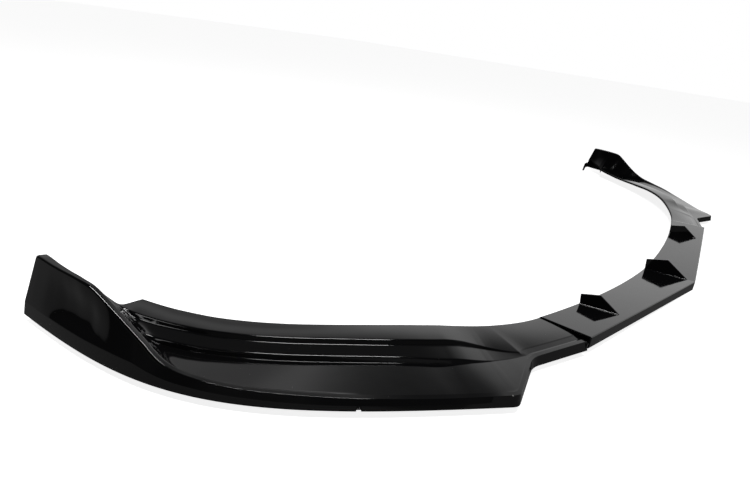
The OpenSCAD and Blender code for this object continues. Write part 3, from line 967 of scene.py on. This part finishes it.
    def ridge_z(self, b: Array) -> Array:
        """Return the ridge's height at b: the rim, a ramp, then the level wing that dips at its end."""
        high = smooth_max(self.rim_z(b), 44 + self.ramp * (b - self.ramp_back), self.ramp_blend)
        return smooth_min(self.wing_z, high, self.top_blend) - curve(b, [(490, 0), (520, 0.5), (532, 1.5)])

    def lean(self, b: Array) -> Array:
        """Return how far inside the lower edge the crest's outer edge lies."""
        return curve(b, [(60, 3.6), (266, 5.5), (306, 7.5), (326, 10.5), (353, 17), (376, 18.5), (412, 17),
                         (436, 14.5), (532, 17)])

    def scoop_at(self, b: Array) -> Array:
        """Return the depth of the hollow in the wing's outer face."""
        return self.scoop * curve(b, [(380, 0), (400, 0.35), (420, 0.9), (440, 1.0), (462, 0.9), (482, 0.45),
                                      (500, 0.1), (520, 0)])

    def face_run(self, b: Array) -> Array:
        """Return the run of the wing's inner face for each millimetre of height."""
        return curve(b, [(300, 0.7), (380, 0.7), (405, 0.62), (430, 0.7), (457, 0.78), (470, 0.72),
                         (483, 0.62), (502, 0.45), (524, 0.25), (532, 0.18)])

    def section(self, inner: Array, outer: Array, t: Array, r: Array, chip: Array) -> Corners:
        """Work out the section line of every station.

        The base falls from the flange over two steps to the rim. The ridge's inner face is a slope
        down from the crest; the section is the smooth maximum of both. The outer face leans in and
        is hollowed by a sine of the height.

        Args:
            inner: plan points of the inner edge.
            outer: plan points of the outer edge.
            t: inner position.
            r: wing position.
            chip: how much is broken off the lower edge.

        Returns:
            The corners.
        """
        run = np.linalg.norm(outer - inner, axis=1)
        b = outer[:, 1] + self.depth / 2
        low_rim = fade(t, self.rim_fade_t) * fade(b, self.rim_fade_b)
        high, rim = self.ridge_z(b) - self.rim_drop * low_rim, self.rim_z(b) - self.rim_drop * low_rim
        q = self.lean(b) + self.rim_in * low_rim
        up = fade(high - rim, self.ridge_fade_z)
        crest = run - q - self.crest_at(b)
        wing = fade(r, self.wing_fade_r)
        lift = fade(t, self.lift_fade_t) * (1 - wing)
        room = run - self.rim_margin
        a1, a2 = (mix(np.minimum(at + out * lift, limit * room), on_wing * crest, wing)
                  for at, out, limit, on_wing in zip((self.step1_at(t), self.step2_at(t)), self.step_lift,
                                                     self.step_limit, self.wing_steps))
        run1, run2 = (mix(length, self.wing_run * crest, wing) for length in self.step_run)
        flange = mix(self.flange_top(t), self.edge_z + 1, fade(r, self.flange_fade_r))
        top = mix(self.valley_z, self.flange_top(t) - 0.6, fade(t, self.top_fade_t)) + self.top_lift * lift
        part = fade(t, self.step1_fade_t)
        ledge = top - self.step1_drop * part - self.least_fall[0]
        brink = ledge - self.ledge_fall * part - self.least_fall[1]
        foot = brink - self.step2_drop * fade(t, self.step2_fade_t) - self.least_fall[2]
        top, ledge, brink, foot = (mix(level, flange, wing) for level in (top, ledge, brink, foot))
        rim_base = mix(rim, flange, wing)
        fall, blend = self.crest_fall * up, self.foot_blend * up
        slope = self.face_run(b)

        def height(s: Array, base: Array) -> Array:
            """Return the smooth maximum of the base and the ridge's inner face at s."""
            return smooth_max(base, high - fall - (crest - s) / slope, blend)

        def blade_at(s: Array) -> Array:
            """Return the height at s between the second step's foot and the crest."""
            share = (s - a2 - run2) / np.maximum(run - a2 - run2, 1.0)
            return height(s, mix(foot, rim_base, share))

        line = Corners()
        zero = np.zeros_like(run)
        edge = height(zero, flange)
        deep = mix(self.inner_lip, self.wing_lip, fade(r, self.lip_fade_r))
        line.add(zero, edge - deep, self.trimmed_r, 3)
        line.add(zero, edge, self.edge_r, 7)
        for v in (0.14, 0.27, 0.4, 0.53, 0.66, 0.78, 0.9):
            crown = self.flange_crown * 4 * v * (1 - v) * (1 - wing)
            line.add(a1 * v, height(a1 * v, mix(flange, top, v) + crown))
        line.add(a1, height(a1, top), self.step_r, 7)
        line.add(a1 + run1, height(a1 + run1, ledge), self.step_r, 5)
        for v in (0.18, 0.34, 0.5, 0.66, 0.82):
            s = mix(a1 + run1, a2, v)
            line.add(s, height(s, mix(ledge, brink, v)))
        line.add(a2, height(a2, brink), self.step_r, 7)
        line.add(a2 + run2, height(a2 + run2, foot), self.step_r, 5)
        for i, v in enumerate(np.linspace(0, 1, 34)[1:-1]):
            s = mix(a2 + run2, crest, v)
            line.add(s, blade_at(s), key=i % 4 == 2)
        line.add(crest, blade_at(crest), self.crest_r, 9)
        line.add(run - q, high, self.crest_r, 9)
        low = self.edge_z + np.minimum(self.strip_h, (high - self.edge_z) / 2)
        q_low = np.minimum(q / 2, 2.0)
        for g in (0.1, 0.2, 0.3, 0.4, 0.5, 0.6, 0.7, 0.8, 0.87, 0.94):
            s = run - mix(q, q_low, g) - self.scoop_at(b) * np.sin(np.pi * g ** 1.5)
            line.add(s, mix(high, low, g), key=g in (0.3, 0.5, 0.7, 0.87))
        line.add(run - q_low, low, self.low_r, 3, key=False)
        line.add(run - q_low * 0.35, mix(low, self.edge_z, 0.65), key=False)
        line.add(run, self.edge_z + chip, self.foot_r, 3)
        return line

    def skin(self) -> Shape:
        """Make the moulded skin from the seam to the wing's rear end."""
        inner, outer, t, r = self.stations()
        chip = np.zeros_like(t)
        if self.side is Side.RIGHT:
            centre = self.outer_edge(self.outer_share(np.array([self.chip_v])))[0]
            away = np.linalg.norm(outer - centre, axis=1)
            chip = self.chip_h * ease((self.chip_half - away) / self.chip_slope)
        line = self.section(inner, outer, t, r, chip)
        return hollow_skin(line, inner, outer, self.wall, self.rake * fade(r, self.rake_fade_r), self.edge_z)

    def end_wall(self) -> Shape:
        """Make the wall that closes the wing's rear end: the space between both faces of the last section."""
        inner, outer, t, r = self.stations()
        last = slice(-1, None)
        line = self.section(inner[last], outer[last], t[last], r[last], np.zeros(1)).points()[0]
        half = self.wall / 2
        crest = int(np.argmax(line[:, 1]))
        climb, drop = line[1:crest], line[crest + 1:]
        climb = climb[climb[:, 1] > climb[0, 1] + 1.5] + [half, -half * 0.3]
        drop = drop[:-1] + [-half, 0.0]
        foot = np.array([[drop[-1, 0], self.edge_z + 2.0], [climb[0, 0], self.edge_z + 3.0]])
        cap = np.array([[climb[-1, 0], line[crest, 1] - half], [drop[0, 0] - 1, line[crest, 1] - half]])
        outline = np.concatenate([climb[::3], cap, drop[::2], foot])[::-1]
        flat = plate(outline, self.wall, 0.5, 0.6).moved(v=-self.edge_z)
        lean = np.array([0.0, -self.rake, 1.0]) / np.hypot(1, self.rake)
        axes = np.array([[1.0, 0, 0], lean, np.cross([1.0, 0, 0], lean)])
        x0 = self.half_width - float(np.linalg.norm(outer[-1] - inner[-1]))
        return flat.placed(axes, (x0, self.depth / 2 - 0.4, self.edge_z))

    def seam_parts(self) -> list[Shape]:
        """Make the end wall at the seam and the tongue under the middle length, with two screw holes."""
        middle, root = self.middle, self.tongue_root
        seam_in, seam_out = middle.seam_ends()
        size = float(np.linalg.norm(seam_out - seam_in))
        d = unit(seam_out - seam_in)
        across, back, up = [-d[1], d[0], 0.0], [-d[0], -d[1], 0.0], [0.0, 0.0, 1.0]
        level, upright = np.array([across, back, up]), np.array([back, up, across])
        origin = (*seam_in, 0.0)
        inset, foot, top = self.seam_wall_inset, self.edge_z + 1.3, self.valley_z - self.wall + 0.5
        wall = plate(rectangle(-size + inset, foot, -inset, top), self.wall, 0.3, 0.4)
        parts = [wall.moved(w=inset / 2).placed(upright, origin)]
        rear = -self.tongue_clear - self.wall
        front = -size - rear
        cuts = [front, (front + rear) / 2, rear]
        for low, high, at in zip(cuts[:-1], cuts[1:], middle.screw_at[::-1]):
            half = plate(rectangle(-middle.lap, low, root, high), self.wall, 0.35, 0.5,
                         (-middle.lap / 2 - 1, -at, self.screw_hole_r))
            parts.append(half.moved(w=middle.tongue_z - self.wall).placed(level, origin))
        post = plate(rectangle(-self.post_w, front, root, front + self.wall),
                     middle.tongue_z - self.edge_z - 1, 0.4, 0.5)
        return parts + [post.moved(w=self.edge_z).placed(level, origin)]

    def tab(self) -> Shape:
        """Make the hanging tab with its screw hole at the wing's rear end."""
        x = self.half_width
        outline = np.array([[x - 29, 29], [x - 48, 27], [x - 53, 8], [x - 53, 0], [x - 44, 0], [x - 37, 10],
                            [x - 29, 13]])
        flat = plate(outline, self.tab_t, 0.6, [0.8, 4.0, 6.0, 2.5, 2.5, 5.0, 0.8],
                     (x - 41, self.tab_hole_z, self.tab_hole_r))
        return flat.placed(np.array([[1, 0, 0], [0, 0, 1], [0, -1.0, 0]]), (0, self.depth / 2, 0))

    def parts(self) -> list[Shape]:
        """Return the skin, the end wall, the tab and the seam's parts, mirrored on the right."""
        parts = [self.skin(), self.end_wall(), self.tab(), *self.seam_parts()]
        return parts if self.side is Side.LEFT else [part.mirrored() for part in parts]


# Screws and studio

@dataclass
class SeamScrews:
    """The four pan head tapping screws in the seams: the CAD solids, dressed in zinc-plated steel."""

    node: str = "seam_screws"

    def dress(self, steel: Material) -> None:
        """Give the CAD node's object its finish."""
        obj = bpy.data.objects[self.node]
        obj.data.materials.clear()
        obj.data.materials.append(steel)


@dataclass
class Studio:
    """White floor, surroundings of uneven brightness, a strip lamp overhead and the photograph's camera."""

    floor_size: float = 40.0
    paper: str = "#dcdcdc"
    paper_in_bounces: str = "#707070"
    glow: float = 0.86
    brightest: float = 0.86
    toward_bright: tuple[float, float, float] = (0.93, 0.37, 0.0)
    toward_dim: tuple[float, float, float] = (-0.5, 0.87, 0.0)
    camera_at: tuple[float, float, float] = (-1.0534, -0.3354, 0.3546)
    lens: float = 24.0
    sensor: float = 36.0
    axes: tuple[tuple[float, ...], ...] = (
        (0.6593082, 0.2120751, -0.7213438), (-0.7398144, 0.3541176, -0.5720798),
        (0.1341166, 0.9108375, 0.3903688))

    def floor(self) -> bpy.types.Object:
        """Make the floor: white with a soft shadow to the camera, and grey paper to bounced rays."""
        h = self.floor_size / 2
        mesh = bpy.data.meshes.new("floor")
        mesh.from_pydata([(-h, -h, 0), (h, -h, 0), (h, h, 0), (-h, h, 0)], [], [(0, 1, 2, 3)])
        material, tree, out = new_tree("white_paper_floor")
        path = add_node(tree, "LightPath")
        paper = add_node(tree, "BsdfDiffuse", {"Color": linear(self.paper)})
        glow = add_node(tree, "Emission", {"Color": (1, 1, 1, 1), "Strength": self.glow})
        both = add_node(tree, "AddShader", {0: paper.outputs[0], 1: glow.outputs[0]})
        dull = add_node(tree, "BsdfDiffuse", {"Color": linear(self.paper_in_bounces)})
        pick = add_node(tree, "MixShader", {0: path.outputs["Is Camera Ray"], 1: dull.outputs[0],
                                                      2: both.outputs[0]})
        tree.links.new(pick.outputs[0], out.inputs[0])
        mesh.materials.append(material)
        obj = bpy.data.objects.new("floor", mesh)
        bpy.context.scene.collection.objects.link(obj)
        return obj

    def world(self) -> None:
        """Make the surroundings, white to the camera and of uneven brightness in reflections.

        They are bright beyond the object, dark on the camera's side and overhead, and dimmer low
        down behind the near wing: side x overhead x (1 - dim x low_down), each a smooth step.
        """
        world = bpy.data.worlds.new("studio")
        bpy.context.scene.world = world
        world.use_nodes = True
        tree = world.node_tree
        tree.nodes.clear()
        direction = add_node(tree, "TexCoord").outputs["Generated"]
        split = add_node(tree, "SeparateXYZ", {0: direction})
        far = add_node(tree, "VectorMath", {0: direction, 1: self.toward_bright},
                       operation="DOT_PRODUCT")
        near = add_node(tree, "VectorMath", {0: direction, 1: self.toward_dim}, operation="DOT_PRODUCT")
        slides = []
        for value, start, end, low, high in ((far.outputs["Value"], -0.1, 0.55, 0.05, self.brightest),
                                             (split.outputs[2], 0.4, 0.76, 1.0, 0.08),
                                             (near.outputs["Value"], 0.1, 0.4, 0.0, 0.65),
                                             (split.outputs[2], 0.4, 0.58, 1.0, 0.0)):
            slide = add_node(tree, "MapRange", {"Value": value, 1: start, 2: end, 3: low, 4: high},
                             interpolation_type="SMOOTHSTEP")
            slides.append(slide.outputs[0])
        side, overhead, dim, low_down = slides
        shade = add_node(tree, "Math", {0: dim, 1: low_down}, operation="MULTIPLY")
        rest = add_node(tree, "Math", {0: 1.0, 1: shade.outputs[0]}, operation="SUBTRACT")
        lit = add_node(tree, "Math", {0: side, 1: overhead}, operation="MULTIPLY")
        amount = add_node(tree, "Math", {0: lit.outputs[0], 1: rest.outputs[0]}, operation="MULTIPLY")
        path = add_node(tree, "LightPath")
        strength = add_node(tree, "Math", {0: amount.outputs[0], 1: path.outputs["Is Camera Ray"]},
                            operation="MAXIMUM")
        back = add_node(tree, "Background", {"Color": (1, 1, 1, 1), "Strength": strength.outputs[0]})
        out = tree.nodes.new("ShaderNodeOutputWorld")
        tree.links.new(back.outputs[0], out.inputs[0])

    def lamp(self, name: str, at: Sequence[float], aim: Sequence[float], size: tuple[float, float],
             radiance: float) -> None:
        """Add an area lamp.

        Args:
            name: its name.
            at: its place in metres.
            aim: the point it faces.
            size: its two sides in metres.
            radiance: brightness of its face; the power is radiance x area x pi.
        """
        light = bpy.data.lights.new(name, "AREA")
        light.shape = "RECTANGLE"
        light.size, light.size_y = size
        light.energy = radiance * size[0] * size[1] * np.pi
        obj = bpy.data.objects.new(name, light)
        short_side = [0.7, 0.7, 0.0]
        z = unit(np.array(at, float) - np.array(aim, float))
        x = unit(np.cross(short_side, z))
        turned = np.stack([x, np.cross(z, x), z], axis=1).tolist()
        obj.matrix_world = Matrix([[*row, c] for row, c in zip(turned, at)] + [[0, 0, 0, 1]])
        bpy.context.scene.collection.objects.link(obj)

    def camera(self) -> None:
        """Place the camera where the photograph was taken from."""
        data = bpy.data.cameras.new("photograph_view")
        data.lens, data.sensor_width = self.lens, self.sensor
        data.clip_start, data.clip_end = 0.01, 100
        obj = bpy.data.objects.new("photograph_view", data)
        rows = [[*axis, c] for axis, c in zip(self.axes, self.camera_at)]
        obj.matrix_world = Matrix(rows + [[0, 0, 0, 1]])
        bpy.context.scene.collection.objects.link(obj)
        bpy.context.scene.camera = obj

    def build(self) -> None:
        """Build the studio."""
        self.floor()
        self.world()
        self.lamp("strip_overhead", (-0.951, -0.139, 2.2), (-0.8, 0.0, 0.0), (1.25, 0.28), 32.0)
        self.camera()
        bpy.context.scene.view_settings.view_transform = "Standard"


def main() -> None:
    """Build the pieces in order and report each."""
    logging.basicConfig(level=logging.INFO, format="%(name)s: %(message)s")
    gloss, satin, steel = GlossAbs().make(), SatinAbs().make(), ZincSteel().make()
    middle = MiddleLength()
    pieces = [middle.build("middle_moulding", gloss, satin)]
    for side in Side:
        hand = side.name.lower()
        length = SideLength(node=f"{hand}_side_lip", side=side, middle=middle)
        pieces.append(length.build(f"{hand}_side_moulding", gloss, satin))
    SeamScrews().dress(steel)
    for piece in pieces:
        LOG.info("%s: %d faces", piece.name, len(piece.data.polygons))
    Studio().build()


if __name__ == "__main__":
    main()
